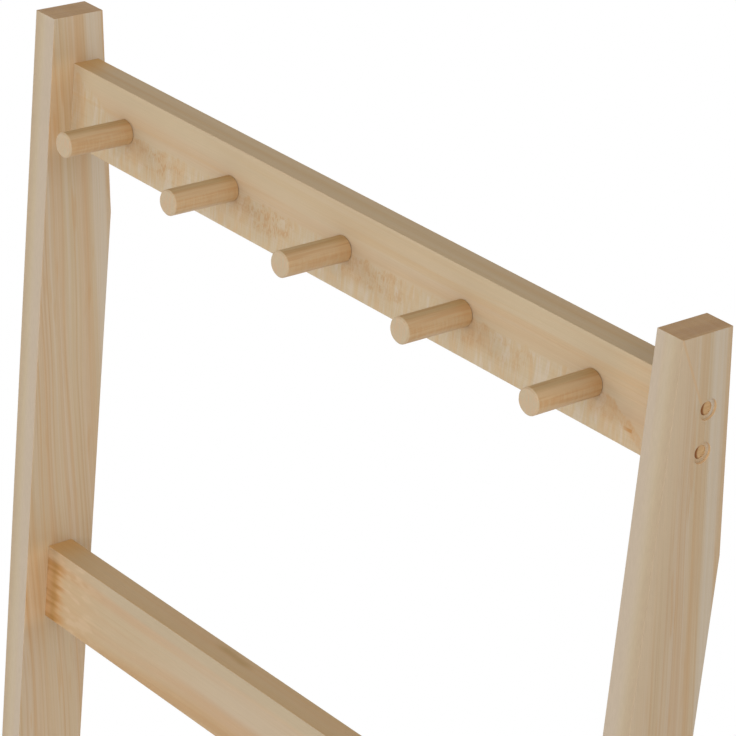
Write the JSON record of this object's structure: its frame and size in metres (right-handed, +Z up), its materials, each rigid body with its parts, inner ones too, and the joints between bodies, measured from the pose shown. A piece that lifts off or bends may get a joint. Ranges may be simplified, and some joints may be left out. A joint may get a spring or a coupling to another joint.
{
  "type": "towel ladder",
  "caption": "Leaning wooden ladder with flat rails for hanging towels and a row of round pegs along the top rail, its posts cut upright at the top to rest on a wall.",
  "frame": {"origin": "on the floor, under the middle of the ladder's bounding box, with the ladder leaning as it does in use", "axes": "+Z up, +X to the ladder's right as seen from the room, +Y towards the wall that it leans on"},
  "size_m": [0.531, 0.2272, 1.692],
  "materials": {
    "pine_board": "clear matt lacquer on pale pine",
    "pine_dowel": "clear matt lacquer on turned pine",
    "pine_plug": "end grain, clear matt lacquer",
    "zinc_steel": "zinc plated",
    "foot_rubber": "matt"
  },
  "bodies": {
    "root": {"left_post": "pine_board", "right_post": "pine_board", "peg_rail": "pine_board", "towel_rail_1": "pine_board", "towel_rail_2": "pine_board", "towel_rail_3": "pine_board", "towel_rail_4": "pine_board", "peg_1": "pine_dowel", "peg_2": "pine_dowel", "peg_3": "pine_dowel", "peg_4": "pine_dowel", "peg_5": "pine_dowel", "left_foot_pad": "foot_rubber", "right_foot_pad": "foot_rubber", "peg_rail_left_screws": "zinc_steel", "peg_rail_left_plugs": "pine_plug", "peg_rail_right_screws": "zinc_steel", "peg_rail_right_plugs": "pine_plug", "towel_rail_1_left_screws": "zinc_steel", "towel_rail_1_left_plugs": "pine_plug", "towel_rail_1_right_screws": "zinc_steel", "towel_rail_1_right_plugs": "pine_plug", "towel_rail_2_left_screws": "zinc_steel", "towel_rail_2_left_plugs": "pine_plug", "towel_rail_2_right_screws": "zinc_steel", "towel_rail_2_right_plugs": "pine_plug", "towel_rail_3_left_screws": "zinc_steel", "towel_rail_3_left_plugs": "pine_plug", "towel_rail_3_right_screws": "zinc_steel", "towel_rail_3_right_plugs": "pine_plug", "towel_rail_4_left_screws": "zinc_steel", "towel_rail_4_left_plugs": "pine_plug", "towel_rail_4_right_screws": "zinc_steel", "towel_rail_4_right_plugs": "pine_plug"}
  },
  "joints": []
}
